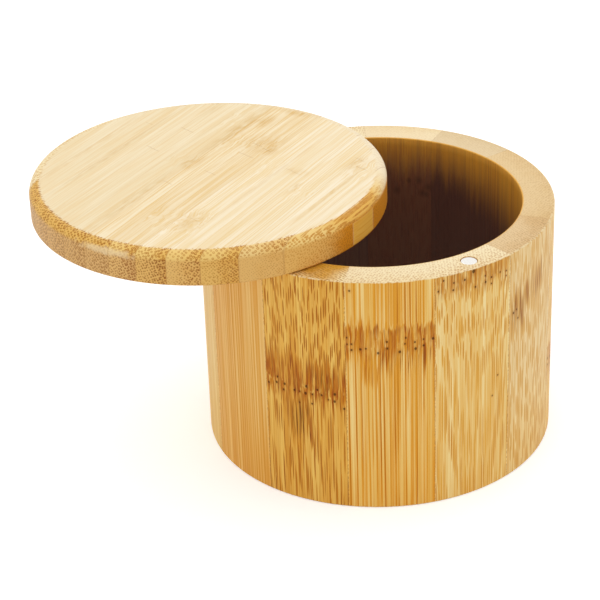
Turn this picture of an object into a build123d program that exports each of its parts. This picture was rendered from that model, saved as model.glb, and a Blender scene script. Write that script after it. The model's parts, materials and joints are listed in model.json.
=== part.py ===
"""Round bamboo salt box. A full-width lid swivels aside on a pin hidden in the rim,
and a pair of small magnets holds it shut.

Frame: +Z up, origin at the centre of the underside, front at -Y, lid swung open to -X.
Angles are in degrees, counter-clockwise from +X seen from above. Lengths are in mm.
"""

import os
from itertools import pairwise

from build123d import *

os.makedirs("parts", exist_ok=True)

# ---------------------------------------------------------------- driving dimensions

outer_diameter = 88.9
wall_thickness = 8.0
body_height = 63.0
foot_edge_radius = 0.6
rim_edge_radius = 0.3

# Wall: wedge-shaped staves glued side to side and turned round
stave_count = 13
first_seam_angle = -99.2

# Base: a round board of equal glued strips, let into the foot of the staves
base_thickness = 8.0
base_ledge = 2.5
base_glue_gap = 0.1
base_strip_count = 11

# Lid: a round board of glued strips, of which the first and the last are cut to what is left
lid_thickness = 8.4
lid_gap = 0.3
lid_top_radius = 2.4
lid_bottom_radius = 0.6
lid_strip_count = 13
first_lid_strip = 7.47
last_lid_strip = 2.23

# Swivel: a headed pin fixed in the rim, which a bush in the lid turns on
pivot_angle = 123.3
open_angle = 61.9
pin_diameter = 3.0
pin_set_depth = 16.0
pin_end_chamfer = 0.4
pin_head_rim = 0.7
pin_head_height = 1.2
pin_head_play = 0.1
pin_head_room = 0.3
wood_over_pin = 2.8
bush_wall = 1.0
running_clearance = 0.05
press_glue_gap = 0.05

# Magnets: one flush in the rim, one in the lid, opposite the pin
magnet_diameter = 4.0
magnet_height = 2.5
magnet_glue_gap = 0.1
magnet_edge_radius = 0.2
rim_magnet_sink = 0.1

# ---------------------------------------------------------------- what follows from them

outer_radius = outer_diameter / 2
inner_radius = outer_radius - wall_thickness
stave_angle = 360 / stave_count

base_seat_radius = inner_radius + base_ledge
base_radius = base_seat_radius - base_glue_gap

lid_radius = outer_radius
lid_bottom = body_height + lid_gap

# The pin and the magnets stand in the middle of the wall, on one diameter.
fitting_radius = (inner_radius + outer_radius) / 2
pivot_point = Vector(fitting_radius, 0).rotate(Axis.Z, pivot_angle)
rim_magnet_point = -pivot_point

# The open lid lies at its closed place turned clockwise about the pin.
lid_centre = pivot_point - pivot_point.rotate(Axis.Z, -open_angle)
lid_direction = (pivot_point - lid_centre).normalized()
lid_magnet_point = lid_centre - lid_direction * fitting_radius

pin_radius = pin_diameter / 2
pin_bottom = body_height - pin_set_depth
pin_head_radius = pin_radius + pin_head_rim
bush_bore_radius = pin_radius + running_clearance
bush_radius = bush_bore_radius + bush_wall
bush_pocket_radius = bush_radius + press_glue_gap
bush_pocket_depth = lid_thickness - wood_over_pin
bush_top = lid_bottom + bush_pocket_depth - pin_head_room - pin_head_height - pin_head_play
pin_head_bottom = bush_top + pin_head_play

magnet_radius = magnet_diameter / 2
magnet_pocket_radius = magnet_radius + magnet_glue_gap


def board_cuts(radius, count, first_width, last_width):
    """Where the strips of a round board meet, from one side of it to the other.

    The strips between the first and the last share the rest of the width equally.
    """
    width = (2 * radius - first_width - last_width) / (count - 2)
    between = [first_width - radius + width * place for place in range(count - 1)]
    return [-radius, *between, radius]


def save(piece, name):
    """Label a finished piece and write it under its own name."""
    piece.part.label = name
    export_step(piece.part, f"parts/{name}.step")


# ---------------------------------------------------------------- wall

for number in range(stave_count):
    start_angle = first_seam_angle + number * stave_angle
    with BuildPart() as stave:
        with BuildSketch(Plane.XZ.rotated((0, 0, start_angle))) as stave_section:
            with BuildLine():
                Polyline(
                    (base_seat_radius, 0),
                    (outer_radius, 0),
                    (outer_radius, body_height),
                    (inner_radius, body_height),
                    (inner_radius, base_thickness),
                    (base_seat_radius, base_thickness),
                    close=True,
                )
            make_face()
            foot_corners = stave_section.vertices().group_by(Axis.Y)[0]
            fillet(foot_corners.sort_by(Axis.X)[-1], foot_edge_radius)
            rim_corners = stave_section.vertices().group_by(Axis.Y)[-1]
            fillet(rim_corners, rim_edge_radius)
        revolve(axis=Axis.Z, revolution_arc=stave_angle)
        with Locations((pivot_point.X, pivot_point.Y, body_height)):
            Cylinder(
                pin_radius + press_glue_gap,
                pin_set_depth,
                align=(Align.CENTER, Align.CENTER, Align.MAX),
                mode=Mode.SUBTRACT,
            )
        with Locations((rim_magnet_point.X, rim_magnet_point.Y, body_height)):
            Cylinder(
                magnet_pocket_radius,
                rim_magnet_sink + magnet_height,
                align=(Align.CENTER, Align.CENTER, Align.MAX),
                mode=Mode.SUBTRACT,
            )
    save(stave, f"stave_{number + 1:02d}")

# ---------------------------------------------------------------- base board

base_strip_width = 2 * base_radius / base_strip_count
base_cuts = board_cuts(base_radius, base_strip_count, base_strip_width, base_strip_width)

for number, (near, far) in enumerate(pairwise(base_cuts)):
    with BuildPart() as base_strip:
        with BuildSketch():
            Circle(base_radius)
            with Locations((0, (near + far) / 2)):
                Rectangle(2 * base_radius, far - near, mode=Mode.INTERSECT)
        extrude(amount=base_thickness)
    save(base_strip, f"base_strip_{number + 1:02d}")

# ---------------------------------------------------------------- lid board

# On this plane +X points from the lid's centre to the pin, along the grain.
lid_plane = Plane(
    origin=(lid_centre.X, lid_centre.Y, lid_bottom),
    x_dir=lid_direction,
    z_dir=(0, 0, 1),
)
lid_section_plane = Plane(
    origin=lid_plane.origin,
    x_dir=lid_direction,
    z_dir=lid_plane.y_dir * -1,
)
lid_axis = Axis(lid_plane.origin, (0, 0, 1))

lid_cuts = board_cuts(lid_radius, lid_strip_count, first_lid_strip, last_lid_strip)

for number, (near, far) in enumerate(pairwise(lid_cuts)):
    with BuildPart() as lid_strip:
        with BuildSketch(lid_section_plane):
            with BuildLine():
                FilletPolyline(
                    (0, 0),
                    (lid_radius, 0),
                    (lid_radius, lid_thickness),
                    (0, lid_thickness),
                    radius=[lid_bottom_radius, lid_top_radius],
                )
                Line((0, lid_thickness), (0, 0))
            make_face()
        revolve(axis=lid_axis)
        with BuildSketch(lid_plane):
            with Locations((0, (near + far) / 2)):
                Rectangle(2 * lid_radius, far - near)
        extrude(amount=lid_thickness, mode=Mode.INTERSECT)
        with Locations((pivot_point.X, pivot_point.Y, lid_bottom)):
            Cylinder(
                bush_pocket_radius,
                bush_pocket_depth,
                align=(Align.CENTER, Align.CENTER, Align.MIN),
                mode=Mode.SUBTRACT,
            )
        with Locations((lid_magnet_point.X, lid_magnet_point.Y, lid_bottom)):
            Cylinder(
                magnet_pocket_radius,
                magnet_height,
                align=(Align.CENTER, Align.CENTER, Align.MIN),
                mode=Mode.SUBTRACT,
            )
    save(lid_strip, f"lid_strip_{number + 1:02d}")

# ---------------------------------------------------------------- swivel

with BuildPart() as pivot_pin:
    with BuildSketch(Plane.XY.offset(pin_bottom)):
        with Locations((pivot_point.X, pivot_point.Y)):
            Circle(pin_radius)
    extrude(amount=pin_head_bottom - pin_bottom)
    chamfer(pivot_pin.edges().sort_by(Axis.Z)[0], pin_end_chamfer)
    with BuildSketch(Plane.XY.offset(pin_head_bottom)):
        with Locations((pivot_point.X, pivot_point.Y)):
            Circle(pin_head_radius)
    extrude(amount=pin_head_height)
save(pivot_pin, "pivot_pin")

# The bush stands proud of the lid by the gap and bears on the rim.
with BuildPart() as pivot_bush:
    with BuildSketch(Plane.XY.offset(body_height)):
        with Locations((pivot_point.X, pivot_point.Y)):
            Circle(bush_radius)
            Circle(bush_bore_radius, mode=Mode.SUBTRACT)
    extrude(amount=bush_top - body_height)
save(pivot_bush, "pivot_bush")

# ---------------------------------------------------------------- magnets

rim_magnet_bottom = body_height - rim_magnet_sink - magnet_height

for name, point, bottom in (
    ("rim_magnet", rim_magnet_point, rim_magnet_bottom),
    ("lid_magnet", lid_magnet_point, lid_bottom),
):
    with BuildPart() as magnet:
        with BuildSketch(Plane.XY.offset(bottom)):
            with Locations((point.X, point.Y)):
                Circle(magnet_radius)
        extrude(amount=magnet_height)
        fillet(magnet.edges().filter_by(GeomType.CIRCLE), magnet_edge_radius)
    save(magnet, name)
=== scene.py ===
"""Round bamboo salt box with its lid swung open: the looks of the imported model."""

import json
import math
import random

import bpy
from mathutils import Matrix, Vector


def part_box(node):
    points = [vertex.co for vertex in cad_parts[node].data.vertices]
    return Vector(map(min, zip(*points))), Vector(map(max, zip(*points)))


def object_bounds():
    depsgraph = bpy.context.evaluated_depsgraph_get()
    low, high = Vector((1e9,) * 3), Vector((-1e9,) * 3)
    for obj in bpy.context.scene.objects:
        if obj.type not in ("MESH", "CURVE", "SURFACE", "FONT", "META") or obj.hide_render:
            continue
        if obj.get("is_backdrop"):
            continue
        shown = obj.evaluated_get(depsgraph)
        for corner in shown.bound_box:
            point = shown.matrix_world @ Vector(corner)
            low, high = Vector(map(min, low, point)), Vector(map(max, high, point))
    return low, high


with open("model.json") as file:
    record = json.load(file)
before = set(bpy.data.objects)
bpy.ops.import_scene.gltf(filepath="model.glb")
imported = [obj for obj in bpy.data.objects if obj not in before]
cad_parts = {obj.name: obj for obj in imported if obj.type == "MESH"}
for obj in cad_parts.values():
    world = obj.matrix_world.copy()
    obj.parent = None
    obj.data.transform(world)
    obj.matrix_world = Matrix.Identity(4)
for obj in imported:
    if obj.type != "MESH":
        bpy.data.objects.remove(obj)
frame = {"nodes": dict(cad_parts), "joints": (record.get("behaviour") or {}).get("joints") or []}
cad_low, cad_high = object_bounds()

MM = 0.001
TOUCHING = 0.01 * MM

# ---------------- sizes, from the frame

staves = sorted(n for n in frame["nodes"] if n.startswith("stave_"))
base_strips = sorted(n for n in frame["nodes"] if n.startswith("base_strip_"))
lid_strips = sorted(n for n in frame["nodes"] if n.startswith("lid_strip_"))


def corners(node):
    """The places of a node's vertices."""
    return [vertex.co for vertex in frame["nodes"][node].data.vertices]


def joined_box(names):
    """Lowest and highest corner of several nodes together."""
    boxes = [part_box(name) for name in names]
    low = Vector(min(box[0][axis] for box in boxes) for axis in range(3))
    high = Vector(max(box[1][axis] for box in boxes) for axis in range(3))
    return low, high


wall_low, wall_high = joined_box(staves)
lid_low, lid_high = joined_box(lid_strips)

outer_radius = (wall_high.x - wall_low.x) / 2
rim_height = wall_high.z
lid_centre = (lid_low + lid_high) / 2
lid_radius = (lid_high.y - lid_low.y) / 2
lid_flat = max(
    (place.xy - lid_centre.xy).length
    for name in lid_strips
    for place in corners(name)
    if place.z > lid_high.z - TOUCHING
)
pivot = Vector(frame["joints"][0]["pos_m"])
fitting_radius = pivot.xy.length
inner_radius = 2 * fitting_radius - outer_radius

lid_grain = Vector((pivot.x - lid_centre.x, pivot.y - lid_centre.y, 0)).normalized()
lid_across = Vector((-lid_grain.y, lid_grain.x, 0))

# ---------------- shader nodes


class Shader:
    """A material's node tree, with a short call for each kind of node."""

    def __init__(self, name):
        self.material = bpy.data.materials.new(name)
        self.material.use_nodes = True
        self.tree = self.material.node_tree
        self.surface = self.tree.nodes["Principled BSDF"]

    def feed(self, socket, value):
        if isinstance(value, bpy.types.NodeSocket):
            self.tree.links.new(value, socket)
        elif value is not None:
            socket.default_value = value

    def node(self, kind, inputs=(), **settings):
        made = self.tree.nodes.new(kind)
        for key, value in settings.items():
            setattr(made, key, value)
        for key, value in dict(inputs).items():
            self.feed(made.inputs[key], value)
        return made

    def math(self, operation, a, b=None, c=None):
        return self.node("ShaderNodeMath", {0: a, 1: b, 2: c}, operation=operation).outputs[0]

    def plus(self, a, b):
        return self.math("ADD", a, b)

    def minus(self, a, b):
        return self.math("SUBTRACT", a, b)

    def times(self, a, b):
        return self.math("MULTIPLY", a, b)

    def times_plus(self, a, b, c):
        return self.math("MULTIPLY_ADD", a, b, c)

    def larger(self, a, b):
        return self.math("MAXIMUM", a, b)

    def vector(self, operation, a, b=None, out=0):
        return self.node("ShaderNodeVectorMath", {0: a, 1: b}, operation=operation).outputs[out]

    def dot(self, a, b):
        return self.vector("DOT_PRODUCT", a, b, out="Value")

    def combine(self, x, y, z):
        return self.node("ShaderNodeCombineXYZ", {0: x, 1: y, 2: z}).outputs[0]

    def ease(self, value, low, high, start=0.0, end=1.0):
        """start below low, end above high, and smooth between."""
        made = self.node("ShaderNodeMapRange", interpolation_type="SMOOTHSTEP")
        for key, number in zip(range(5), (value, low, high, start, end)):
            self.feed(made.inputs[key], number)
        return made.outputs[0]

    def noise(self, place, detail=2.0, roughness=0.5):
        inputs = {"Vector": place, "Scale": 1.0, "Detail": detail, "Roughness": roughness}
        return self.node("ShaderNodeTexNoise", inputs, noise_dimensions="3D").outputs

    def mix(self, factor, a, b, kind="MIX"):
        made = self.node("ShaderNodeMix", data_type="RGBA", blend_type=kind)
        self.feed(made.inputs[0], factor)
        self.feed(made.inputs[6], a)
        self.feed(made.inputs[7], b)
        return made.outputs[2]

    def between(self, factor, a, b):
        made = self.node("ShaderNodeMix", data_type="FLOAT")
        self.feed(made.inputs[0], factor)
        self.feed(made.inputs[2], a)
        self.feed(made.inputs[3], b)
        return made.outputs[0]


def srgb(red, green, blue):
    """A colour written in 0-255 screen values, as the shader wants it."""
    linear = []
    for value in (red, green, blue):
        share = value / 255
        linear.append(share / 12.92 if share <= 0.04045 else ((share + 0.055) / 1.055) ** 2.4)
    return (*linear, 1.0)


# ---------------- bamboo

SPECULAR = 0.2
BUMP_DEPTH = 0.06 * MM

# Noises on a strip: waves per millimetre round the cane, through its wall and along it.
WAVES = {
    "broad tones": (0.8, 0.4, 0.012),
    "fine fibres": (2.4, 1.6, 0.03),
    "straight lines": (1.7, 0.5, 0.012),
    "comb breaks": (0.7, 0.1, 0.03),
    "swirl": (0.4, 0.3, 0.22),
    "knot columns": (2.4, 0.3, 0.02),
    "knot mottle": (2.0, 0.4, 0.07),
    "knot dark": (2.1, 0.4, 0.09),
    "knot swirls": (1.7, 0.6, 0.45),
    "patch edge": (1.6, 0.4, 0.06),
    "patch columns": (2.1, 0.5, 0.06),
    "pale through brown": (1.6, 0.5, 0.07),
    "dark through brown": (2.2, 0.5, 0.06),
    "end tones": (0.35, 0.35, 0.1),
    "glue speckle": (3.0, 0.5, 1.6),
    "rim highlight breaks": (1.2, 0.3, 0.3),
    "gold run": (0.8, 0.2, 0.03),
    "crack wobble": (0.8, 0.8, 0.1),
    "smudge mottle": (0.9, 0.9, 0.25),
    "skin streaks": (2.2, 2.2, 0.03),
    "worn edge": (0.6, 0.6, 0.6),
}
GOLD_DEPTH_WAVES = 0.8  # of the orange streaks, through the cane's wall
MIDDLE_GREY = (0.5, 0.5, 0.5)  # the mean of a coloured noise
STRAIGHTER = 0.4  # what is left of the bundles' lean below straight_below
FACE_UP = (0.9, 0.98)  # from no part of a board's flat face to all of it, in the normal's upward part
LAP = 0.7  # millimetres of a disc's end grain that show on its flat top, past the rounding
LAP_RAG = 0.5  # how much further each dot reaches
ROUNDING_SPREAD = 0.6  # how far dots run over a disc's rounding, for each millimetre inwards


class Strip:
    """A length of bamboo in its own millimetres: through the cane's wall, round the cane, along it."""

    def __init__(self, shader, out, across, grain, seed):
        place = shader.node("ShaderNodeTexCoord").outputs["Object"]
        normal = shader.node("ShaderNodeTexCoord").outputs["Normal"]
        self.shader = shader
        self.depth = shader.times(shader.dot(place, tuple(out)), 1 / MM)
        self.width = shader.times(shader.dot(place, tuple(across)), 1 / MM)
        self.length = shader.times(shader.dot(place, tuple(grain)), 1 / MM)
        self.endwise = shader.math("ABSOLUTE", shader.dot(normal, tuple(grain)))
        self.upward = shader.dot(normal, (0.0, 0.0, 1.0))
        level = shader.vector("MULTIPLY", normal, (1.0, 1.0, 0.0))
        self.sideways = shader.vector("LENGTH", level, out="Value")
        draw = random.Random(seed)
        self.shift = tuple(draw.uniform(-50, 50) for _ in range(3))
        self.warp = None
        self.disc = None

    def noise(self, waves, detail=2.0, roughness=0.5, out="Fac"):
        """Noise with its own number of waves per millimetre along each of the strip's axes."""
        s = self.shader
        place = s.combine(self.width, self.depth, self.length)
        if self.warp is not None:
            place = s.vector("ADD", place, self.warp)
        place = s.vector("MULTIPLY", place, waves)
        place = s.vector("ADD", place, self.shift)
        return s.noise(place, detail=detail, roughness=roughness)[out]

    def cells(self, pitch, randomness, tilt=0.0, straight_below=None):
        """Fibre bundles in cross-section: distance from the nearest one's middle, and its two tints."""
        s = self.shader
        along = self.length
        if straight_below is not None:
            above = s.minus(along, straight_below)
            along = s.larger(above, s.times(above, STRAIGHTER))
        depth = s.times_plus(along, tilt, self.depth)
        place = s.combine(self.width, depth, 0.0)
        if self.warp is not None:
            place = s.vector("ADD", place, self.warp)
        return self.cells_at(place, pitch, randomness)

    def cells_at(self, place, pitch, randomness, turn=0.0):
        """The same at a place given in millimetres, with the rows of bundles turned by an angle."""
        s = self.shader
        if turn:
            turned = s.dot(place, (math.cos(turn), math.sin(turn), 0.0))
            place = s.combine(turned, s.dot(place, (-math.sin(turn), math.cos(turn), 0.0)), 0.0)
        place = s.vector("MULTIPLY", place, (1 / pitch[0], 1 / pitch[1], 0.0))
        place = s.vector("ADD", place, (self.shift[0], self.shift[1], 0.0))
        inputs = {"Vector": place, "Scale": 1.0, "Randomness": randomness}
        found = s.node("ShaderNodeTexVoronoi", inputs, voronoi_dimensions="2D").outputs
        tints = s.node("ShaderNodeSeparateColor", {0: found["Color"]}).outputs
        return found["Distance"], tints[0], tints[1]


def wander(strip, look):
    """Bundles don't run straight: they drift slowly, and swirl where the cane had a knot."""
    s = strip.shader
    sway = strip.noise(look["sway_scale"], out="Color")
    sway = s.vector("SUBTRACT", sway, MIDDLE_GREY)
    warp = s.vector("MULTIPLY", sway, (*look["sway"], 0.0))
    for knot in (*look.get("knots", ()), *look.get("eddies", ())):
        offset = s.math("DIVIDE", s.minus(strip.length, knot["at"]), knot["reach"])
        near = s.math("EXPONENT", s.times(s.times(offset, offset), -1.0))
        swirl = strip.noise(WAVES["swirl"], detail=1.0, out="Color")
        swirl = s.vector("SUBTRACT", swirl, MIDDLE_GREY)
        swirl = s.vector("MULTIPLY", swirl, s.combine(near, s.times(near, 2.0), 0.0))
        warp = s.vector("ADD", warp, s.vector("MULTIPLY", swirl, (knot["swirl"], knot["swirl"], 0.0)))
    strip.warp = warp


def add_knot(strip, colour, knot, pale, gold):
    """A knot: a brown band of streaks that each start at their own height, dark columns, pale swirls."""
    s = strip.shader
    column = s.minus(strip.noise(WAVES["knot columns"]), 0.5)
    height = s.minus(strip.length, knot["at"])
    height = s.times_plus(strip.width, -knot["slope"], height)
    fall = s.times_plus(column, 3.5 * knot["down"], height)
    rise = s.times_plus(column, 1.6 * knot["up"], height)
    shade = s.ease(fall, -1.1 * knot["down"], 0.0)
    top = s.ease(rise, knot["up"] - knot["soft"], knot["up"] + 0.2, 1.0, 0.0)
    shade = s.times(shade, top)
    shade = s.times(shade, knot["strength"])
    mottle = s.ease(strip.noise(WAVES["knot mottle"]), 0.42, 0.56, 0.15, 1.0)
    brown = s.times(shade, mottle)
    colour = s.mix(s.ease(brown, 0.0, 0.5), colour, gold)
    colour = s.mix(s.ease(brown, 0.2, 1.0), colour, KNOT_BROWN)
    dark = s.ease(strip.noise(WAVES["knot dark"]), 0.5, 0.6, 0.0, 0.75)
    colour = s.mix(s.times(shade, dark), colour, KNOT_DARK)
    near = s.ease(s.math("ABSOLUTE", s.plus(height, 1.0)), 0.6, 2.6, knot["strength"], 0.0)
    swirls = s.ease(strip.noise(WAVES["knot swirls"], detail=1.0), 0.56, 0.66, 0.0, 0.7)
    return s.mix(s.times(near, swirls), colour, pale), shade


def add_patch(strip, colour, patch, gold):
    """A soft brown patch of streaks, given by its place, its half sizes, its strength and its colour."""
    s = strip.shader
    across, up, half_across, half_up, strength, tone = patch
    away = s.vector("SUBTRACT", s.combine(strip.width, strip.length, 0.0), (across, up, 0.0))
    away = s.vector("MULTIPLY", away, (1 / half_across, 1 / half_up, 0.0))
    ragged = s.times_plus(strip.noise(WAVES["patch edge"], detail=3.0), 2.4, -1.2)
    away = s.plus(s.vector("LENGTH", away, out="Value"), ragged)
    columns = s.ease(strip.noise(WAVES["patch columns"]), 0.42, 0.56, 0.25, 1.0)
    brown = s.times(s.ease(away, 0.2, 1.3, strength, 0.0), columns)
    colour = s.mix(s.ease(brown, 0.0, 0.5), colour, gold)
    return s.mix(s.ease(brown, 0.1, 1.0), colour, tone), brown


def pin_marks(strip, pins):
    """Small dark root marks at given places on the face, each with a brown stain round it."""
    s = strip.shader
    core = stain = None
    for across, up, radius in pins:
        gap = s.vector("SUBTRACT", s.combine(strip.width, strip.length, 0.0), (across, up, 0.0))
        distance = s.vector("LENGTH", s.vector("MULTIPLY", gap, (1.0, 0.8, 1.0)), out="Value")
        dark = s.ease(distance, 0.6 * radius, 1.2 * radius, 1.0, 0.0)
        ring = s.ease(distance, 1.2 * radius, 3.2 * radius, 1.0, 0.0)
        core = dark if core is None else s.larger(core, dark)
        stain = ring if stain is None else s.larger(stain, ring)
    return core, stain


def comb_lines(strip, look):
    """Even lines along the grain, a set pitch apart, each of which fades and comes back."""
    s = strip.shader
    row = s.combine(s.times_plus(strip.depth, 0.02, strip.width), 0.0, 0.0)
    place = s.vector("MULTIPLY", s.vector("ADD", row, strip.warp), (1 / look["comb"], 0.0, 0.0))
    place = s.vector("ADD", place, (strip.shift[0], 0.3, 0.0))
    inputs = {"Vector": place, "Scale": 1.0, "Randomness": 0.6}
    found = s.node("ShaderNodeTexVoronoi", inputs, voronoi_dimensions="2D").outputs
    line = s.ease(found["Distance"], 0.12, 0.36, look["comb_strength"], 0.0)
    return s.times(line, s.ease(strip.noise(WAVES["comb breaks"]), 0.34, 0.6, 0.35, 1.0))


def side_grain(strip, look):
    """The long faces: broad tones, orange streaks, and the cut bundles as dark lines or flames."""
    s = strip.shader
    pale, tan, gold, dark = look["side"]
    broad = s.ease(strip.noise(WAVES["broad tones"]), 0.36, 0.64)
    colour = s.mix(broad, pale, tan)
    medium = strip.noise((look["gold_width"], GOLD_DEPTH_WAVES, look["gold_run"]), detail=1.0)
    colour = s.mix(s.times(s.ease(medium, 0.48, 0.6), look["gold"]), colour, gold)
    if look.get("comb"):
        line = comb_lines(strip, look)
        colour = s.mix(s.ease(line, 0.0, 0.6), colour, gold)
        colour = s.mix(s.ease(line, 0.3, 1.0), colour, dark)
    below = look.get("straight_below")
    found = strip.cells(look["pitch"], look["random"], look["tilt"], straight_below=below)
    distance, size_tint, dark_tint = found
    size = s.times_plus(size_tint, 0.6 * look["bundle"], 0.7 * look["bundle"])
    bundle = s.ease(distance, s.times(size, 0.65), s.times(size, 1.1), 1.0, 0.0)
    streak = s.times(bundle, s.times_plus(dark_tint, 0.4, 0.6))
    streak = s.times(streak, look["streak"])
    colour = s.mix(s.ease(streak, 0.0, 0.5), colour, gold)
    colour = s.mix(s.ease(streak, 0.3, 1.0), colour, dark)
    fine = strip.noise(WAVES["fine fibres"], detail=3.0, roughness=0.6)
    if below is not None:
        lines = strip.noise(WAVES["straight lines"], detail=1.0)
        lines = s.ease(lines, 0.46, 0.58, 0.0, look["lines"])
        lines = s.times(lines, s.ease(strip.length, below - 8.0, below, 1.0, 0.0))
        colour = s.mix(lines, colour, gold)
    colour = s.mix(s.ease(fine, 0.45, 0.75, 0.0, look["fine"]), colour, gold)
    colour = s.mix(s.ease(fine, 0.25, 0.45, look["fine"], 0.0), colour, pale)
    return colour, streak, fine


def from_axis(strip):
    """Where a place lies from the axis of the disc its strip is cut into: its angle, and its distance."""
    s = strip.shader
    out = s.minus(strip.depth, strip.disc["middle"][0])
    along = s.minus(strip.length, strip.disc["middle"][1])
    around = s.math("ARCTAN2", out, s.times(along, -1.0))
    return around, s.vector("LENGTH", s.combine(out, along, 0.0), out="Value")


def round_edge(strip):
    """A place on a disc's edge: millimetres round it, and up over its rounding onto the top."""
    s = strip.shader
    around, distance = from_axis(strip)
    radius = strip.disc["radius"]
    over = s.times_plus(s.minus(radius, distance), ROUNDING_SPREAD, strip.width)
    return s.combine(s.times(around, radius), over, 0.0)


def end_grain(strip, look):
    """The cut ends: dark bundles in a pale ground, larger and closer towards the cane's skin."""
    s = strip.shader
    pale, tan, dark = look["end"]
    skin = s.ease(strip.depth, *look["depths"])
    place = round_edge(strip) if strip.disc else s.combine(strip.width, strip.depth, 0.0)
    found = strip.cells_at(place, look["end_pitch"], look["end_random"], look["end_twist"])
    distance, size_tint, dark_tint = found
    hollow = look["eye"]
    size = s.between(skin, *look["end_bundle"])
    size = s.times(size, s.times_plus(size_tint, 0.4, 0.8))
    ground = strip.noise(WAVES["end tones"], detail=3.0)
    ground = s.plus(s.times(skin, look["skin"]), s.minus(ground, 0.5))
    strength = s.times(s.between(skin, look["inner_dot"], 1.0), look["dot"])
    # Painted highlight on a disc's far rounding, towards the pin: its dots fade there and its colour turns
    # pale.
    if look.get("fade"):
        fade = s.times(s.ease(strip.length, *look["fade"]), s.ease(strip.upward, 0.0, 0.4))
        strength = s.times(strength, s.times_plus(fade, -0.85, 1.0))
    if look.get("end_shade"):
        ground = s.plus(ground, s.ease(strip.width, *look["end_shade"]))
    if look.get("end_run"):
        rise, drop = look["end_run"]
        ground = s.plus(ground, s.ease(strip.length, rise - 6.0, rise + 6.0))
    colour = s.mix(s.ease(ground, 0.0, 1.0), pale, tan)
    if look.get("band"):
        # A disc's edge has its own tones and larger dots where it rounds over to the top.
        band = s.ease(strip.upward, 0.1, 0.5)
        band_pale, band_tan, band_dark = look["band"]
        if look.get("end_run"):
            past = s.ease(strip.length, drop - 4.0, drop + 4.0)
            ground = s.minus(ground, past)
            strength = s.times(strength, s.times_plus(past, -0.55, 1.0))
        colour = s.mix(band, colour, s.mix(s.ease(ground, 0.0, 1.0), band_pale, band_tan))
        dark = s.mix(band, dark, band_dark)
        found = strip.cells_at(place, look["band_pitch"], look["band_random"], look["end_twist"])
        distance = s.between(band, distance, found[0])
        if look.get("end_run"):
            streaks = strip.cells(look["pitch"], look["run_random"])
            tangent = s.times(band, s.ease(strip.endwise, 0.18, 0.34, 1.0, 0.0))
            distance = s.between(tangent, distance, streaks[0])
        hollow = s.between(band, hollow, look["band_eye"])
        strength = s.times(strength, s.between(band, look["upright_dot"], 1.0))
        size = s.times(size, s.between(band, look["upright_size"], look["band_size"]))
    dot = s.ease(distance, s.times(size, 0.65), s.times(size, 1.15), 1.0, 0.0)
    # The painted highlight on the far rounding pales the colour.
    if look.get("fade"):
        colour = s.mix(fade, colour, look["side"][1])
    eye = s.ease(distance, s.times(size, 0.15), s.times(size, 0.6), hollow, 0.0)
    dot = s.times(s.minus(dot, eye), s.times_plus(dark_tint, 0.4, 0.6))
    shade = s.times(dot, strength)
    if look.get("band"):
        colour = s.mix(s.ease(shade, 0.0, 0.6, 0.0, 0.6), colour, s.mix(band, tan, band_tan))
    return s.mix(shade, colour, dark), dot


def turned_up(strip, rag, dot):
    """How far a wall's surface turns towards its end grain, which is its rim and its foot."""
    return strip.shader.ease(strip.shader.plus(strip.endwise, rag), 0.3, 0.7)


def turned_out(strip, rag, dot):
    """How far a flat board's surface turns from its faces to its round edge, where that cuts the grain."""
    s = strip.shader
    edge = s.ease(s.plus(strip.sideways, rag), 0.02, 0.32)
    across = s.ease(strip.endwise, 0.1, 0.115)
    rounded = s.ease(s.math("ABSOLUTE", strip.upward), 0.1, 0.16)
    if strip.disc:
        reach = s.times_plus(dot, LAP_RAG, from_axis(strip)[1])
        flat = strip.disc["flat"]
        lap = s.times(s.ease(reach, flat - LAP, flat + 0.1), s.ease(strip.upward, *FACE_UP))
        edge = s.larger(edge, lap)
    return s.times(edge, s.larger(across, rounded))


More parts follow.
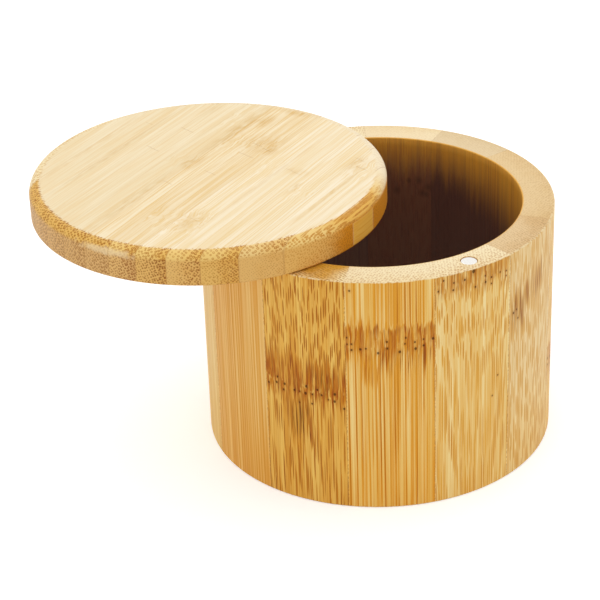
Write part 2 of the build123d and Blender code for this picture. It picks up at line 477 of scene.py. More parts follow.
def bamboo(name, out, across, grain, look, finish):
    """Solid bamboo: end grain shows dots and the long faces show streaks, as the surface turns."""
    s = Shader(name)
    strip = Strip(s, out, across, grain, name)
    strip.disc = look.get("disc")
    wander(strip, look)
    colour, streak, fine = side_grain(strip, look)
    browned = 0.0
    for knot in look.get("knots", ()):
        colour, brown = add_knot(strip, colour, knot, look["side"][0], look["side"][2])
        browned = s.larger(browned, brown)
    for patch in look.get("patches", ()):
        colour, brown = add_patch(strip, colour, patch, look["side"][2])
        browned = s.larger(browned, brown)
    if look.get("knots") or look.get("patches"):
        fibres = s.ease(strip.noise(WAVES["pale through brown"]), 0.48, 0.56, 0.0, 0.6)
        colour = s.mix(s.times(browned, fibres), colour, look["side"][1])
        lines = s.ease(strip.noise(WAVES["dark through brown"], detail=1.0), 0.48, 0.58)
        through = s.times(browned, s.larger(streak, lines))
        colour = s.mix(s.times(through, 0.85), colour, THROUGH_KNOT, kind="MULTIPLY")
    side_height = s.times_plus(streak, -1.0, fine)

    strip.warp = None
    end_colour, dot = end_grain(strip, look)
    end = look["turn"](strip, s.times_plus(fine, 0.3, -0.15), dot)
    colour = s.mix(end, colour, end_colour)
    height = s.between(end, side_height, s.times(dot, -1.0))
    if look.get("pins"):
        core, stain = pin_marks(strip, look["pins"])
        face = s.times(s.ease(strip.depth, *look["pin_depths"]), s.minus(1.0, end))
        core = s.times(core, face)
        stain = s.times(stain, face)
        colour = s.mix(s.times(stain, 0.28), colour, PIN_STAIN, kind="MULTIPLY")
        colour = s.mix(s.times(core, 0.8), colour, PIN_DARK)
        height = s.times_plus(core, -3.0, height)
    colour = finish(strip, look, colour, end)

    s.feed(s.surface.inputs["Base Color"], colour)
    rough = s.times_plus(fine, 0.2, look["rough"])
    if look.get("pins"):
        rough = s.times_plus(core, 0.4, rough)
    s.feed(s.surface.inputs["Roughness"], rough)
    bump = s.node("ShaderNodeBump", {"Height": height, "Strength": 0.4, "Distance": BUMP_DEPTH})
    s.feed(s.surface.inputs["Normal"], bump.outputs[0])
    s.surface.inputs["Specular IOR Level"].default_value = SPECULAR
    return s.material


def dress(node, material):
    """Give a CAD node its finish."""
    for entry in frame["nodes"][node].material_slots:
        entry.material = material


# ---------------- wall

KNOT_BROWN = srgb(200, 122, 16)
KNOT_DARK = srgb(160, 90, 6)
KNOT_OLIVE = srgb(132, 86, 8)
THROUGH_KNOT = srgb(214, 170, 92)
PIN_STAIN = srgb(200, 156, 96)
PIN_DARK = srgb(66, 38, 10)
WALL_GLUE = srgb(170, 112, 52)
WALL_GLUE_REACH = (0.1, 0.24)  # millimetres from a seam, from full tone to none
DEEPER_FOOT = srgb(252, 238, 192)
FOOT_HEIGHTS = (3.0, 32.0)
# Painted highlight: a pale broken line along the rim's outer edge, where it catches the light.
BROKEN_FIBRES = srgb(253, 232, 184)
# Painted light inside the wall: gold just under the rim, brighter at its top, where light falls in at the
# mouth.
GILT = (srgb(230, 172, 64), srgb(252, 196, 86))
GOLD_RAG = 5.5  # how far its streaks reach past its lowest height, or stop short of it
DEEP_INSIDE = srgb(176, 160, 160)
# Painted light lifts the lowest part of the inside towards this paler tone, fading out upwards between these
# heights.
DEEP_HEIGHTS = (20.0, 52.0)
INNER_MARK = srgb(70, 52, 50)


def knot(at, up=4.0, down=7.0, soft=1.2, swirl=0.5, reach=5.0, strength=1.0, slope=0.0):
    """A knot at a height: how far its brown band reaches up and down, and how softly its top starts."""
    return locals().copy()


# A look's lengths are in millimetres. On the long faces, pitch, random, bundle and tilt lay out the cut
# bundles, sway bends their run, gold is for the orange streaks, and side is pale, tan, orange and dark. On
# the end grain, end_bundle is the dots' size at the inside and at the skin, eye is how hollow they are, skin
# is how much the ground darkens outwards, and end is pale, tan and dark. low deepens the foot,
# stain is the painted shade that darkens the inside, and gold_depth is how far
# down the gold painted light under the rim reaches there, at one side of the stave and the other.
WALL = {
    "pitch": (1.0, 0.5),
    "random": 0.7,
    "bundle": 0.3,
    "tilt": 0.003,
    "sway": (0.5, 0.4),
    "sway_scale": (0.1, 0.1, 0.01),
    "gold": 0.65,
    "gold_width": 2.5,
    "gold_run": 0.014,
    "streak": 0.9,
    "fine": 0.6,
    "side": (srgb(250, 218, 142), srgb(241, 196, 104), srgb(230, 158, 38), srgb(192, 114, 12)),
    "end_pitch": (0.72, 0.72),
    "end_random": 0.5,
    "end_twist": 0.5,
    "end_bundle": (0.3, 0.4),
    "eye": 0.0,
    "inner_dot": 0.7,
    "dot": 0.75,
    "skin": 0.5,
    "depths": (inner_radius / MM, outer_radius / MM),
    "end": (srgb(253, 234, 190), srgb(247, 221, 168), srgb(206, 160, 104)),
    "turn": turned_up,
    "rough": 0.42,
    # Painted shade for the inside below the rim, and how far down the painted light under the rim reaches.
    "stain": srgb(112, 82, 74),
    "gold_depth": (16.0, 16.0),
    "low": 0.6,
    "pin_depths": (inner_radius / MM + 4.0, inner_radius / MM + 5.0),
}
FLAMES = {
    "pitch": (0.62, 0.62),
    "tilt": 0.075,
    "bundle": 0.34,
    "random": 0.65,
    "sway": (0.3, 0.6),
    "sway_scale": (0.08, 0.08, 0.015),
    "gold": 0.5,
    "gold_run": 0.04,
    "streak": 0.75,
}
SMOOTH = {
    "pitch": (0.8, 0.5),
    "random": 0.85,
    "bundle": 0.36,
    "gold": 0.6,
    "streak": 0.5,
    "side": (srgb(252, 218, 156), srgb(236, 186, 106), srgb(228, 164, 70), srgb(190, 122, 42)),
}
GOLDEN_END = (srgb(252, 230, 178), srgb(220, 162, 54), srgb(174, 114, 34))
TAN_END = (srgb(234, 202, 152), srgb(222, 184, 128), srgb(180, 136, 80))
WARM_END = (srgb(236, 205, 152), srgb(226, 190, 132), srgb(198, 154, 96))


def pin_row(seed, at, slope=0.0):
    """Root marks in a loose row round a stave, two by two, as (degrees from its middle, height, radius)."""
    draw = random.Random(seed)
    row = []
    for step in range(-4, 5):
        turn = 3.0 * step + draw.uniform(-1.2, 1.2)
        up = at + slope * turn + draw.uniform(-1.2, 1.2)
        row.append((turn, up, draw.uniform(0.25, 0.38)))
        if draw.random() < 0.6:
            second = turn + draw.uniform(-0.4, 0.4)
            row.append((second, up - draw.uniform(1.2, 2.0), draw.uniform(0.25, 0.35)))
    return row


FIRST_SEAM_DEGREES = -99.2

# What each stave shows. A mark is (degrees from its middle, height, radius), and a patch is (place across and
# height, half size each way, strength, colour), in millimetres.
STAVE_LOOKS = {
    "stave_01": {
        "comb": 0.9,
        "comb_strength": 0.9,
        "gold": 0.35,
        "streak": 0.45,
        "knots": [knot(47.5, up=3.9, down=8.0)],
        "patches": [
            (-5.4, 41.8, 2.2, 5.2, 1.0, KNOT_BROWN),
            (-7.6, 47.6, 3.6, 5.4, 1.0, KNOT_BROWN),
            (-4.6, 38.4, 2.0, 4.4, 1.0, KNOT_BROWN),
            (2.0, 47.0, 8.0, 3.2, 0.6, srgb(206, 134, 26)),
        ],
        "marks": [
            (-13.3, 48.1, 0.2), (-13.2, 46.3, 0.2), (-11.9, 46.4, 0.24), (-11.9, 44.8, 0.28),
            (-9.2, 45.1, 0.3), (-7.5, 45.3, 0.24), (-3.8, 44.1, 0.32), (-1.1, 47.1, 0.26),
            (-1.0, 45.3, 0.28), (2.8, 44.2, 0.34), (4.7, 47.9, 0.24), (4.4, 46.3, 0.22),
            (7.5, 46.5, 0.24), (7.7, 44.7, 0.34), (10.2, 47.0, 0.22), (10.2, 45.3, 0.26),
            (13.2, 46.8, 0.34), (-12.2, 60.7, 0.24),
        ],
    },
    "stave_02": {
        **FLAMES,
        "low": 0.2,
        "straight_below": 38.0,
        "lines": 0.45,
        "knots": [knot(60.0, up=6.0, down=4.0, strength=0.6)],
        "marks": [
            (-12.8, 59.1, 0.22), (-11.1, 61.7, 0.22), (-7.7, 60.6, 0.22), (-7.9, 58.7, 0.25),
            (-4.0, 60.7, 0.28), (-0.9, 62.3, 0.45), (-0.2, 58.0, 0.25), (3.4, 60.1, 0.2),
            (3.6, 58.4, 0.3), (5.9, 59.1, 0.25), (5.9, 57.4, 0.22), (9.4, 59.5, 0.2),
            (12.1, 59.1, 0.22), (12.1, 57.8, 0.2), (9.1, 31.3, 0.2), (6.9, 26.1, 0.2),
        ],
        "side": (srgb(253, 228, 162), srgb(245, 209, 132), srgb(234, 176, 74), srgb(206, 136, 40)),
        "streak": 0.85,
        "fine": 0.7,
        "end_bundle": (0.32, 0.44),
        "dot": 0.85,
    },
    "stave_03": {
        **SMOOTH,
        "tilt": 0.06,
        "streak": 0.6,
        "side": (srgb(251, 227, 174), srgb(240, 209, 150), srgb(228, 176, 92), srgb(200, 142, 70)),
        "patches": [
            (-7.0, 46.0, 3.4, 7.2, 1.0, srgb(168, 112, 44)),
            (1.8, 50.5, 4.0, 5.5, 0.8, srgb(186, 134, 72)),
            (-3.4, 49.5, 1.6, 6.0, 0.7, srgb(178, 124, 62)),
        ],
        "marks": [(-11.8, 46.4, 0.28), (-10.3, 46.9, 0.22), (-9.5, 44.3, 0.22)],
        "end": TAN_END,
        "end_shade": (1.0, 12.0),
        "dot": 0.6,
    },
    "stave_04": {
        **FLAMES,
        "side": (srgb(252, 224, 164), srgb(244, 208, 140), srgb(234, 180, 90), srgb(208, 148, 70)),
        "end": WARM_END,
        "dot": 0.5,
        "end_shade": (-2.0, -16.0),
        "stain": srgb(124, 88, 74),
        "gold_depth": (32.0, 27.0),
        "knots": [knot(23.0, up=4.0, down=7.0, slope=0.05, strength=0.7)],
        "marks": pin_row("stave_04", 22.0, 0.03),
    },
    "stave_05": {
        "end": WARM_END,
        "dot": 0.4,
        "knots": [knot(8.0, up=4.0, down=6.0, strength=0.8)],
        "marks": pin_row("stave_05", 7.5),
        "gold_depth": (27.0, 19.0),
    },
    "stave_06": {
        **SMOOTH,
        "end": (srgb(235, 210, 166), srgb(225, 196, 144), srgb(198, 156, 102)),
        "dot": 0.3,
        "stain": srgb(108, 79, 73),
        "gold_depth": (19.0, 13.5),
        "knots": [knot(51.0, up=4.0, down=6.0, strength=0.7)],
        "marks": pin_row("stave_06", 50.0),
    },
    "stave_07": {
        **FLAMES,
        "end": (srgb(250, 228, 184), srgb(243, 214, 160), srgb(204, 156, 98)),
        "dot": 0.25,
        "stain": srgb(130, 93, 78),
        "gold_depth": (13.5, 14.5),
        "inner_marks": [
            (1.1, 47.7, 0.45), (-8.4, 51.2, 0.4), (-12.4, 49.5, 0.45),
            (-9.7, 47.5, 0.4), (-11.5, 47.3, 0.35), (-4.0, 50.8, 0.3),
        ],
    },
    "stave_08": {
        "stain": srgb(120, 97, 94),
        "knots": [knot(37.0, up=4.5, down=8.0, strength=0.8)],
        "marks": pin_row("stave_08", 36.0),
    },
    "stave_09": {
        **FLAMES,
        "side": (srgb(240, 192, 100), srgb(232, 176, 80), srgb(216, 146, 40), srgb(172, 100, 18)),
        "knots": [knot(17.0, up=4.0, down=6.0, slope=-0.06, strength=0.8)],
        "marks": pin_row("stave_09", 16.0, -0.04),
    },
    "stave_10": {
        **SMOOTH,
        "knots": [knot(58.0, up=4.0, down=4.0, strength=0.8)],
        "marks": pin_row("stave_10", 57.5),
    },
    "stave_11": {
        **SMOOTH,
        "side": (srgb(252, 224, 160), srgb(244, 208, 138), srgb(234, 188, 106), srgb(214, 162, 88)),
    },
    "stave_12": {
        **SMOOTH,
        "side": (srgb(248, 208, 132), srgb(236, 182, 96), srgb(226, 160, 60), srgb(190, 120, 44)),
        "end": GOLDEN_END,
    },
    "stave_13": {
        **FLAMES,
        "side": (srgb(246, 202, 104), srgb(237, 182, 80), srgb(212, 140, 34), srgb(168, 94, 10)),
        "tilt": 0.08,
        "streak": 0.95,
        "pitch": (0.54, 0.6),
        "random": 0.95,
        "bundle": 0.32,
        "end_bundle": (0.34, 0.44),
        "dot": 0.8,
        # The rim's end grain is golden except close to its right seam: partly its own tone, partly painted
        # shadow of the open lid.
        "end_shade": (12.5, 5.0),
        "skin": -0.35,
        "straight_below": 31.0,
        "low": 0.1,
        "lines": 0.2,
        "knots": [knot(33.0, up=9.5, down=5.0, soft=6.5, slope=-0.08)],
        "patches": [
            (-1.4, 23.6, 3.6, 7.4, 1.0, KNOT_OLIVE),
            (-7.4, 37.4, 4.4, 4.4, 0.7, KNOT_DARK),
            (4.6, 35.6, 1.8, 5.5, 0.8, KNOT_OLIVE),
            (-4.6, 25.0, 1.2, 5.0, 1.0, KNOT_DARK),
            (1.6, 21.0, 1.2, 4.5, 1.0, KNOT_DARK),
        ],
        "marks": [
            (-12.9, 31.3, 0.28), (-9.4, 33.7, 0.28), (-9.8, 32.1, 0.33), (-6.8, 32.3, 0.33),
            (-7.2, 30.6, 0.28), (-3.3, 31.3, 0.28), (-1.4, 31.3, 0.2), (0.9, 33.1, 0.36),
            (0.6, 31.1, 0.36), (2.9, 31.2, 0.25), (2.7, 28.5, 0.25), (-1.6, 28.2, 0.2),
            (5.9, 31.4, 0.28), (8.1, 30.4, 0.2), (10.2, 32.1, 0.34), (10.1, 30.1, 0.33),
            (4.6, 32.7, 0.28), (13.1, 28.3, 0.28),
        ],
        "end": GOLDEN_END,
    },
}

stave_angle = 2 * math.pi / len(staves)
first_seam = math.radians(FIRST_SEAM_DEGREES)
rim = rim_height / MM
wall_out = outer_radius / MM
wall_in = inner_radius / MM


def face_places(marks, radius):
    """Marks given by angle, height and size, as places in a stave's own width and length."""
    return [(radius * math.sin(math.radians(turn)), up, size) for turn, up, size in marks]


def finish_wall(strip, look, colour, end):
    """A glue line at each side, a deeper foot, a painted highlight along the rim's outer edge, painted light
    and painted shade inside.
    """
    s = strip.shader
    half = stave_angle / 2
    to_seam = s.times(s.math("ABSOLUTE", strip.width), -math.cos(half))
    to_seam = s.times_plus(strip.depth, math.sin(half), to_seam)
    speckle = s.ease(strip.noise(WAVES["glue speckle"], detail=1.0), 0.46, 0.54)
    seam = s.times(s.ease(to_seam, *WALL_GLUE_REACH, 0.5, 0.0), speckle)
    colour = s.mix(s.times(seam, s.between(end, 1.0, 0.4)), colour, WALL_GLUE)

    low = s.ease(strip.length, *FOOT_HEIGHTS, look["low"], 0.0)
    low = s.times(low, s.minus(1.0, end))
    colour = s.mix(low, colour, DEEPER_FOOT, kind="MULTIPLY")
    radius = s.vector("LENGTH", s.combine(strip.width, strip.depth, 0.0), out="Value")
    # A painted highlight: a pale broken line along the rim's outer edge, where it would catch the light.
    corner = s.plus(s.minus(radius, wall_out), s.minus(strip.length, rim))
    broken = s.ease(strip.noise(WAVES["rim highlight breaks"]), 0.42, 0.56, 0.0, 0.6)
    arris = s.times(s.ease(corner, -0.36, -0.22), broken)
    colour = s.mix(arris, colour, BROKEN_FIBRES)

    # Painted light inside is gold under the rim, painted shade lies below it, and the gold ends in streaks.
    inside = s.ease(radius, wall_in + 0.1, wall_in + 0.5, 1.0, 0.0)
    run = s.times_plus(strip.noise(WAVES["gold run"], detail=3.0), 2 * GOLD_RAG, -GOLD_RAG)
    lowest_gold = s.minus(rim, s.ease(strip.width, -8.0, 8.0, *look["gold_depth"]))
    deep = s.ease(s.plus(strip.length, run), lowest_gold, rim + 3.0, 1.0, 0.0)
    gilt = s.mix(s.ease(strip.length, rim - 2.5, rim - 0.3), *GILT)
    stain = s.mix(deep, gilt, look["stain"])
    # Painted light: the inside is lifted to a paler tone towards the bottom.
    stain = s.mix(s.ease(strip.length, *DEEP_HEIGHTS, 0.3, 0.0), stain, DEEP_INSIDE)
    if look.get("inner_marks"):
        dark, smudge = pin_marks(strip, face_places(look["inner_marks"], wall_in))
        marked = s.times_plus(smudge, 0.3, s.times(dark, 0.15))
        stain = s.mix(marked, stain, INNER_MARK)
    stained = s.mix(0.6, s.mix(1.0, colour, stain, kind="MULTIPLY"), stain)
    return s.mix(inside, colour, stained)


for number, node in enumerate(staves):
    middle = first_seam + (number + 0.5) * stave_angle
    out = Vector((math.cos(middle), math.sin(middle), 0))
    across = Vector((-out.y, out.x, 0))
    look = {**WALL, **STAVE_LOOKS.get(node, {})}
    look["pins"] = face_places(look.get("marks", ()), wall_out)
    dress(node, bamboo(node, out, across, Vector((0, 0, 1)), look, finish_wall))

# ---------------- lid and base

# The lid's edge has a band of its own where it rounds over to the top. upright_dot and upright_size are for
# the dots below it, and narrow deepens the faces that are neither flat nor end grain.
BOARD = {
    "pitch": (0.5, 0.5),
    "random": 0.95,
    "bundle": 0.34,
    "tilt": 0.03,
    "sway": (0.5, 0.5),
    "sway_scale": (0.08, 0.08, 0.03),
    "gold": 0.35,
    "gold_width": 2.8,
    "gold_run": 0.04,
    "streak": 0.38,
    "fine": 0.6,
    "side": (srgb(255, 240, 210), srgb(251, 233, 197), srgb(244, 212, 150), srgb(216, 172, 110)),
    "end_pitch": (0.62, 0.62),
    "end_random": 0.6,
    "end_bundle": (0.3, 0.38),
    "band_pitch": (0.95, 0.95),
    "band_random": 0.5,
    "band_size": 1.1,
    "band_eye": 0.9,
    "eye": 0.4,
    "inner_dot": 0.7,
    "dot": 1.0,
    "upright_dot": 1.0,
    "upright_size": 1.0,
    "narrow": srgb(244, 202, 104),
    # How strong the painted highlight on the lid's rounding is.
    "worn": 0.0,
    "skin": 0.6,
    "end": (srgb(236, 192, 116), srgb(224, 170, 84), srgb(152, 86, 16)),
    "band": (srgb(244, 206, 124), srgb(232, 178, 80), srgb(166, 92, 8)),
    "turn": turned_out,
    "rough": 0.4,
}
PALE_BAND = (srgb(242, 206, 134), srgb(234, 182, 92), srgb(170, 96, 14))
CREAM_BAND = (srgb(251, 230, 182), srgb(247, 220, 164), srgb(214, 166, 96))
LEFT_END = {
    "end": (srgb(224, 178, 112), srgb(208, 158, 92), srgb(158, 102, 40)),
    "end_pitch": (0.66, 0.66),
    "band": (srgb(234, 186, 96), srgb(220, 160, 56), srgb(162, 92, 8)),
    "end_bundle": (0.36, 0.42),
    "band_pitch": (0.8, 0.8),
    "band_eye": 0.35,
    "band_size": 0.95,
    "skin": 0.2,
    "eye": 0.6,
    "side": (srgb(250, 233, 197), srgb(245, 225, 184), srgb(240, 208, 150), srgb(218, 174, 114)),
    "streak": 0.3,
    "fine": 0.45,
}
GOLDEN_TOP = (srgb(252, 234, 197), srgb(246, 223, 180), srgb(238, 200, 130), srgb(210, 162, 94))
STRIP_LOOKS = {
    "lid_strip_01": {
        "end": (srgb(229, 180, 98), srgb(220, 144, 34), srgb(158, 84, 6)),
        "band": (srgb(244, 208, 130), srgb(236, 184, 86), srgb(194, 122, 32)),
        "end_pitch": (0.7, 0.62),
        "band_pitch": (0.9, 0.72),
        "band_size": 1.3,
        "band_eye": 0.4,
        "swirls": ((20.0, 6.0, 1.2),),
        "upright_dot": 0.5,
        "upright_size": 0.95,
        "edge_run": (-11.0, 9.0),
        "run_random": 0.8,
        "skin": 0.0,
    },
    "lid_strip_02": {
        "end": (srgb(229, 182, 106), srgb(220, 166, 84), srgb(160, 90, 14)),
        "band": PALE_BAND,
        "end_pitch": (0.58, 0.58),
        "swirls": ((20.0, 6.0, 1.6),),
        "upright_dot": 0.6,
        "upright_size": 0.65,
        "skin": 0.4,
    },
    "lid_strip_03": {
        "end": (srgb(231, 184, 100), srgb(220, 162, 70), srgb(156, 84, 6)),
        "band": (srgb(242, 204, 122), srgb(232, 178, 82), srgb(166, 92, 8)),
        "end_pitch": (0.58, 0.58),
        "swirls": ((0.0, 4.0, 1.0),),
        "inner_dot": 0.5,
        "upright_dot": 0.9,
    },
    "lid_strip_04": {
        "end": (srgb(232, 186, 108), srgb(222, 168, 86), srgb(146, 76, 4)),
        "end_bundle": (0.26, 0.38),
        "inner_dot": 0.45,
    },
    "lid_strip_05": {
        "end": (srgb(230, 182, 102), srgb(214, 158, 76), srgb(136, 68, 2)),
        "end_bundle": (0.3, 0.42),
        "band_pitch": (0.8, 0.8),
        "swirls": ((-26.0, 6.0, 2.4), (9.0, 4.0, 1.0)),
    },
    "lid_strip_06": {
        "end": (srgb(230, 184, 112), srgb(210, 158, 90), srgb(150, 86, 22)),
        "end_bundle": (0.34, 0.42),
        "band_pitch": (0.8, 0.8),
        "worn": 0.7,
        "side": GOLDEN_TOP,
        "swirls": ((20.0, 6.0, 1.2), (-26.0, 5.0, 1.4)),
    },
    "lid_strip_07": {
        **LEFT_END,
        "side": GOLDEN_TOP,
        "streak": 0.4,
        "fine": 0.6,
        "worn": 0.7,
        "swirls": ((18.0, 6.0, 1.2),),
    },
    "lid_strip_08": {
        **LEFT_END,
        "fine": 0.6,
        "worn": 0.7,
        "swirls": ((3.0, 4.0, 1.4), (32.0, 6.0, 1.0)),
    },
    "lid_strip_09": LEFT_END,
    "lid_strip_10": LEFT_END,
    "lid_strip_11": LEFT_END,
    "lid_strip_12": {**LEFT_END, "band": CREAM_BAND},
    "lid_strip_13": {
        **LEFT_END,
        "band": CREAM_BAND,
        "narrow": srgb(234, 202, 140),
        "fine": 0.8,
        "streak": 0.6,
    },
}

BOARD_GLUE = srgb(184, 132, 72)
BOARD_GLUE_REACH = (0.05, 0.2)
BOARD_SKIN = srgb(228, 168, 76)
# Painted shade for the base's upper face, which is the floor inside the box.
BASE_INSIDE = srgb(206, 160, 112)
SMUDGE = srgb(238, 222, 190)
CRACK = srgb(190, 146, 96)
CRACK_SLOPE = 0.29
# Painted highlight on the lid's rounding, where its dots fade and its colour pales:
DOTS_FADE = (8.0, 22.0)  # from the lid's middle towards the pin, along the rounding
OUTERMOST = 0.1

# Marks of knots on the lid's upper face, from its middle: (towards the front right, along the grain, half
# size each way, strength). A crack is a thin line across the grain and a smudge is a soft brown patch.
LID_CRACKS = (
    (-29.6, 17.5, 1.8, 0.5), (-18.5, 18.6, 2.8, 0.9), (-20.0, 5.0, 2.8, 0.9), (1.0, -0.4, 2.4, 0.7),
    (3.3, 12.5, 3.2, 0.9), (2.7, 19.0, 2.0, 0.9), (6.4, 17.5, 1.8, 1.0), (-5.4, -9.9, 2.0, 0.7),
    (30.2, 23.2, 2.0, 0.7), (33.0, 19.0, 2.2, 0.9), (19.0, 9.6, 3.0, 0.6), (12.0, -24.0, 2.0, 0.6),
)
LID_SMUDGES = (
    (-6.8, 24.0, 2.2, 20.0, 0.9), (-7.6, -22.0, 1.8, 20.0, 0.8), (-6.6, 3.0, 2.6, 5.0, 1.0),
    (-3.4, 32.4, 3.0, 4.0, 0.9), (3.5, 20.0, 7.0, 6.0, 0.7), (7.6, 17.6, 2.4, 3.0, 0.8),
    (11.5, -25.0, 3.2, 5.5, 0.9), (1.1, 41.0, 5.0, 2.0, 1.0), (19.6, 9.8, 3.6, 2.0, 0.6),
    (24.0, 1.6, 0.9, 3.2, 1.0), (31.0, 20.0, 2.6, 5.0, 0.8), (-34.4, 0.0, 1.0, 30.0, 0.5),
    (-27.5, -4.0, 1.2, 26.0, 0.6), (15.5, 4.0, 0.8, 24.0, 0.5), (-20.0, 33.0, 2.0, 5.0, 0.4),
    (33.4, 4.0, 0.7, 20.0, 0.9),
)

# A pale painted highlight on the lid's edge, in millimetres round it from opposite the pin, and over its
# rounding.
WORN_ALONG = 0.5
WORN_OVER = 0.7
WORN_HALVES = (8.5, 1.2)
WORN = srgb(246, 218, 168)


def strip_span(node, direction):
    """How far a node reaches along a direction, in millimetres."""
    places = [place.dot(direction) / MM for place in corners(node)]
    return min(places), max(places)


def knot_lines(strip, colour, middle, low, high):
    """The lid's cracks and smudges, laid over the colour of its flat faces."""
    s = strip.shader

    def here(marks, size):
        """The marks that reach this strip."""
        return [
            mark for mark in marks
            if low - size * mark[2] < middle[0] + mark[0] < high + size * mark[2]
        ]

    wobble = s.times_plus(strip.noise(WAVES["crack wobble"]), 0.8, -0.4)
    mottle = s.ease(strip.noise(WAVES["smudge mottle"], detail=3.0), 0.35, 0.65, 0.3, 1.0)
    crack = smudge = 0.0
    for across, along, half_across, half_along, strength in here(LID_SMUDGES, 1.5):
        centre = (middle[0] + across, middle[1] + along, 0)
        away = s.vector("SUBTRACT", s.combine(strip.depth, strip.length, 0.0), centre)
        away = s.vector("MULTIPLY", away, (1 / half_across, 1 / half_along, 0.0))
        reach = s.ease(s.vector("LENGTH", away, out="Value"), 0.0, 1.5, strength, 0.0)
        smudge = s.larger(smudge, reach)
    for across, along, half, strength in here(LID_CRACKS, 1.0):
        off = s.minus(strip.depth, middle[0] + across)
        line = s.plus(s.minus(strip.length, middle[1] + along), wobble)
        line = s.times_plus(off, CRACK_SLOPE, line)
        off = s.math("ABSOLUTE", off)
        line = s.ease(s.math("ABSOLUTE", line), 0.05, 0.24, strength, 0.0)
        line = s.times(line, s.ease(off, 0.6 * half, half, 1.0, 0.0))
        crack = s.larger(crack, line)
    colour = s.mix(s.times(smudge, mottle), colour, SMUDGE, kind="MULTIPLY")
    return s.mix(s.times(crack, 0.35), colour, CRACK)


def finish_board(low, high, middle, reach):
    """The finish of a strip that lies from low to high in a board which reaches as far as reach."""

    def finish(strip, look, colour, end):
        """Knots on the lid, skin at the outermost strips, deeper narrow faces, painted shade on the base's
        upper face, a painted highlight on the lid's rounding, glue lines.
        """
        s = strip.shader
        flat = s.ease(s.math("ABSOLUTE", strip.upward), *FACE_UP)
        along_grain = s.minus(1.0, end)
        if middle:
            marked = knot_lines(strip, colour, middle, low, high)
            colour = s.mix(s.times(flat, along_grain), colour, marked)
        if low <= reach[0] or high >= reach[1]:
            outside = (high - 2.4, high - 0.6) if high >= reach[1] else (low + 2.4, low + 0.6)
            skin = s.ease(strip.depth, *outside)
            streaks = s.ease(strip.noise(WAVES["skin streaks"]), 0.36, 0.62, 0.2, 1.0)
            skin = s.times(skin, s.times(flat, streaks))
            colour = s.mix(skin, colour, BOARD_SKIN)
        narrow = s.times(along_grain, s.minus(1.0, flat))
        colour = s.mix(narrow, colour, look["narrow"], kind="MULTIPLY")
        # Painted shade darkens the base's upward faces, the floor inside the box.
        if not middle:
            colour = s.mix(s.ease(strip.upward, 0.5, 0.9), colour, BASE_INSIDE, kind="MULTIPLY")
        # A painted highlight: a pale ragged patch on the lid's rounding, where it catches the light.
        if look["worn"]:
            rounding_start = (lid_high.z - lid_radius + lid_flat) / MM
            worn_place = (WORN_ALONG, rounding_start + WORN_OVER, 0.0)
            away = s.vector("SUBTRACT", round_edge(strip), worn_place)
            away = s.vector("MULTIPLY", away, (1 / WORN_HALVES[0], 1 / WORN_HALVES[1], 0.0))
            ragged = s.times_plus(strip.noise(WAVES["worn edge"], detail=3.0), 1.6, -0.8)
            away = s.plus(s.vector("LENGTH", away, out="Value"), ragged)
            colour = s.mix(s.ease(away, 0.3, 1.3, look["worn"], 0.0), colour, WORN)
        near = high - low
        if low > reach[0]:
            near = s.math("MINIMUM", near, s.minus(strip.depth, low))
        if high < reach[1]:
            near = s.math("MINIMUM", near, s.minus(high, strip.depth))
        seam = s.times(s.ease(near, *BOARD_GLUE_REACH, 1.0, 0.0), s.between(end, 0.08, 0.35))
        return s.mix(seam, colour, BOARD_GLUE)

    return finish


for group, out, across, grain in (
    (lid_strips, -lid_across, Vector((0, 0, 1)), lid_grain),
    (base_strips, Vector((0, 1, 0)), Vector((0, 0, 1)), Vector((1, 0, 0))),
):
    spans = [strip_span(node, out) for node in group]
    reach = (min(low for low, high in spans) + OUTERMOST, max(high for low, high in spans) - OUTERMOST)
    for number, node in enumerate(group):
        low, high = spans[number]
        twist = 0.35 + 0.2 * (number % 4)
        look = {**BOARD, "depths": (low, high), "end_twist": twist, **STRIP_LOOKS.get(node, {})}
        middle = None
        if group is lid_strips:
            middle = (lid_centre.dot(out) / MM, lid_centre.dot(grain) / MM)
            look["fade"] = [middle[1] + along for along in DOTS_FADE]
            look["disc"] = {"middle": middle, "radius": lid_radius / MM, "flat": lid_flat / MM}
            look["eddies"] = [
                knot(middle[1] + at, reach=far, swirl=swirl)
                for at, far, swirl in look.get("swirls", ())
            ]
        if look.get("edge_run"):
            look["end_run"] = [middle[1] + along for along in look["edge_run"]]
        dress(node, bamboo(node, out, across, grain, look, finish_board(low, high, middle, reach)))

# ---------------- metal

WHITE = (1, 1, 1, 1)
SCRATCH_WAVES = (9000, 9000, 3000)


def metal(name, colour, rough, scratches):
    """Plain metal with fine turned scratches in its gloss."""
    s = Shader(name)
    place = s.node("ShaderNodeTexCoord").outputs["Object"]
    fine = s.noise(s.vector("MULTIPLY", place, SCRATCH_WAVES), detail=3.0)["Fac"]
    bright = s.mix(0.25, colour, WHITE)
    s.feed(s.surface.inputs["Base Color"], s.mix(s.ease(fine, 0.35, 0.65), colour, bright))
    s.feed(s.surface.inputs["Roughness"], s.times_plus(fine, scratches, rough))
    s.surface.inputs["Metallic"].default_value = 1.0
    bump = s.node("ShaderNodeBump", {"Height": fine, "Strength": 0.2, "Distance": 0.01 * MM})
    s.feed(s.surface.inputs["Normal"], bump.outputs[0])
    return s.material


nickel = metal("nickel", srgb(250, 247, 240), 0.3, 0.15)
dress("rim_magnet", nickel)
dress("lid_magnet", nickel)
dress("pivot_pin", metal("steel", srgb(214, 214, 212), 0.25, 0.2))
dress("pivot_bush", metal("brass", srgb(226, 184, 96), 0.3, 0.2))

# ---------------- floor, light, camera

FLOOR_SIZE = 6.0
FLOOR_TONE = (0.86, 0.86, 0.86, 1)
FLOOR_GLOW = 0.42  # seen by the camera and in reflections, and lights nothing
WORLD_STRENGTH = 0.88

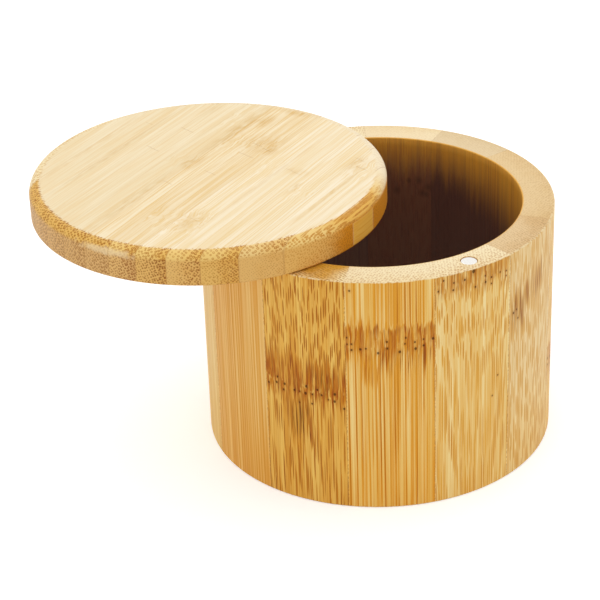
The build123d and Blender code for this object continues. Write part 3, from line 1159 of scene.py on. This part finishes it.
bpy.ops.mesh.primitive_plane_add(size=FLOOR_SIZE, location=(0, 0, 0))
floor = bpy.context.object
floor.name = "floor"
shade = Shader("floor")
shade.surface.inputs["Base Color"].default_value = FLOOR_TONE
shade.surface.inputs["Roughness"].default_value = 0.9
paths = shade.node("ShaderNodeLightPath").outputs
seen = shade.larger(paths["Is Camera Ray"], paths["Is Glossy Ray"])
strength = shade.times(seen, FLOOR_GLOW)
glow = shade.node("ShaderNodeEmission", {"Color": WHITE, "Strength": strength})
both = shade.node("ShaderNodeAddShader", {0: shade.surface.outputs[0], 1: glow.outputs[0]})
shade.tree.links.new(both.outputs[0], shade.tree.nodes["Material Output"].inputs["Surface"])
floor.data.materials.append(shade.material)
floor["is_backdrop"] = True

world = bpy.data.worlds.new("studio")
bpy.context.scene.world = world
world.use_nodes = True
world.node_tree.nodes["Background"].inputs["Color"].default_value = WHITE
world.node_tree.nodes["Background"].inputs["Strength"].default_value = WORLD_STRENGTH


def softbox(name, place, target, width, height, power):
    """A rectangular lamp that faces the target."""
    lamp = bpy.data.lights.new(name, "AREA")
    lamp.shape = "RECTANGLE"
    lamp.size = width
    lamp.size_y = height
    lamp.energy = power
    made = bpy.data.objects.new(name, lamp)
    made.location = place
    made.rotation_euler = (Vector(target) - Vector(place)).to_track_quat("-Z", "Y").to_euler()
    bpy.context.scene.collection.objects.link(made)


softbox("top_light", place=(-0.1, 0.35, 1.1), target=(0, 0, 0), width=1.2, height=1.0, power=2)

# The camera that was fitted to the outlines of the body, the mouth and the lid.
camera_place = Vector((7.43, -473.34, 294.96)) * MM
camera_down = 0.50298
camera_turn = -0.05767
camera_roll = -0.03573
focal_pixels = 2104.85
frame_pixels = 600
sensor_width = 36.0

ahead = Vector((
    math.sin(camera_turn) * math.cos(camera_down),
    math.cos(camera_turn) * math.cos(camera_down),
    -math.sin(camera_down),
))
right = Vector((math.cos(camera_turn), -math.sin(camera_turn), 0))
up = right.cross(ahead)
tilted_right = right * math.cos(camera_roll) + up * math.sin(camera_roll)
tilted_up = up * math.cos(camera_roll) - right * math.sin(camera_roll)
camera = bpy.data.objects.new("camera", bpy.data.cameras.new("camera"))
camera.data.sensor_width = sensor_width
camera.data.lens = sensor_width * focal_pixels / frame_pixels
camera.data.clip_start = 0.01
axes = Matrix((tilted_right, tilted_up, -ahead)).transposed()
camera.matrix_world = Matrix.Translation(camera_place) @ axes.to_4x4()
bpy.context.scene.collection.objects.link(camera)
bpy.context.scene.camera = camera
bpy.context.scene.view_settings.view_transform = "Standard"

low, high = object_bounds()
sizes = {"cad": [list(cad_low), list(cad_high)], "visual": [list(low), list(high)]}
